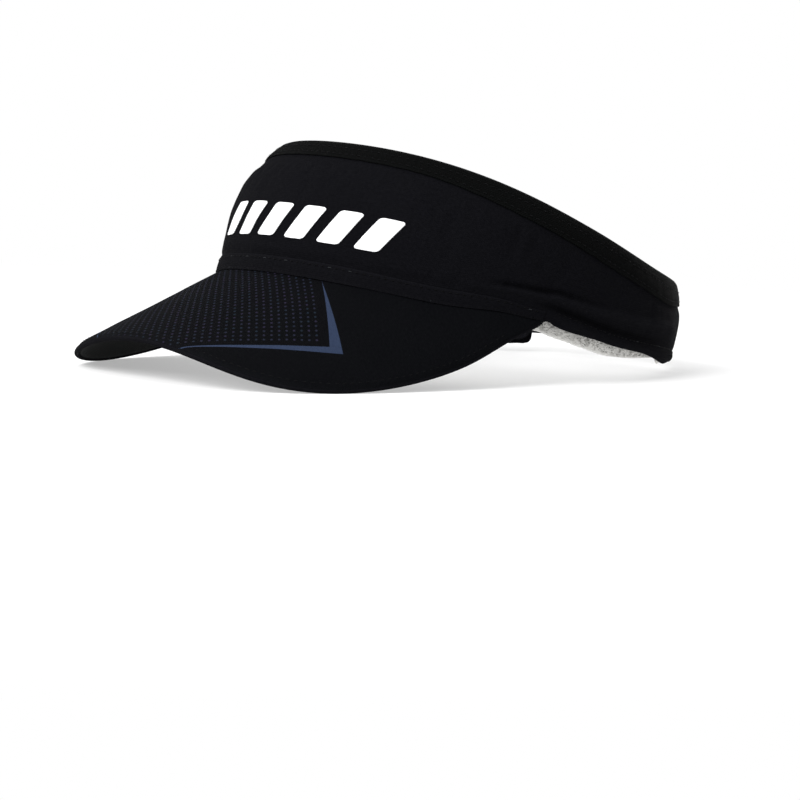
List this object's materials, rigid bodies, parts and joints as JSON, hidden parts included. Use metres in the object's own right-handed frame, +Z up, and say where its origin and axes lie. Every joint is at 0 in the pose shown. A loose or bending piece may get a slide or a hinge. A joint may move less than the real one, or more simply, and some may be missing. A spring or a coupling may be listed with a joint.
{
  "type": "sun visor",
  "caption": "Sports sun visor: open-topped fabric head band with a curved brim, terry sweatband and a rear hook-and-loop strap.",
  "frame": {"origin": "middle of the bounding box's underside: level with the rear hem, half way between the brim's tip and the rear strap, on the wearer's centre line", "axes": "+Z up; -Y forward over the face towards the brim's tip; +X to the wearer's left; the length lies along Y"},
  "size_m": [0.1682, 0.2583, 0.0916],
  "materials": {
    "knit_fabric": "bluish black sports knit with a faint diagonal weave, printed",
    "binding_tape": "greenish black woven tape",
    "sewing_thread": "black polyester thread, slight sheen",
    "lining_fabric": "black brushed lining",
    "foam_pad": "thin grey foam",
    "terry_towelling": "white looped towelling",
    "brim_board": "moulded polyethylene board",
    "strap_webbing": "black woven strap",
    "loop_pile": "black loop pile",
    "hook_tape": "black moulded hooks",
    "label_satin": "white satin, blank",
    "transfer_film": "white heat transfer film"
  },
  "bodies": {
    "band": {"crown_panel": "knit_fabric", "crown_foam": "foam_pad", "crown_lining": "lining_fabric", "top_binding": "binding_tape", "top_binding_thread_upper": "sewing_thread", "top_binding_thread_lower": "sewing_thread", "seam_tape": "binding_tape", "seam_tape_thread_upper": "sewing_thread", "seam_tape_thread_lower": "sewing_thread", "hem_thread_left": "sewing_thread", "hem_thread_right": "sewing_thread", "sweatband": "terry_towelling", "sweatband_thread": "sewing_thread", "care_label": "label_satin", "brim_core": "brim_board", "brim_top_cover": "knit_fabric", "brim_under_cover": "binding_tape", "brim_edge_piping": "binding_tape", "brim_edge_thread": "sewing_thread", "under_strap": "strap_webbing", "loop_patch": "loop_pile", "under_strap_thread": "sewing_thread", "pocket_thread": "sewing_thread", "emblem_bar_1": "transfer_film", "emblem_bar_2": "transfer_film", "emblem_bar_3": "transfer_film", "emblem_bar_4": "transfer_film", "emblem_bar_5": "transfer_film", "emblem_bar_6": "transfer_film"},
    "strap_root": {"over_strap_root": "strap_webbing"},
    "strap_tail": {"over_strap_tail": "strap_webbing", "hook_patch": "hook_tape", "hook_patch_thread": "sewing_thread"}
  },
  "joints": [
    {"name": "size_adjust", "type": "hinge", "parent": "band", "child": "strap_root", "pos_m": [0, 0.04812, 0.016], "axis": [0, 0, 1], "range_deg": [-8, 8]},
    {"name": "strap_peel", "type": "hinge", "parent": "strap_root", "child": "strap_tail", "pos_m": [-0.02484, 0.12459, 0.016], "axis": [0, 0, 1], "range_deg": [0, 120]}
  ]
}
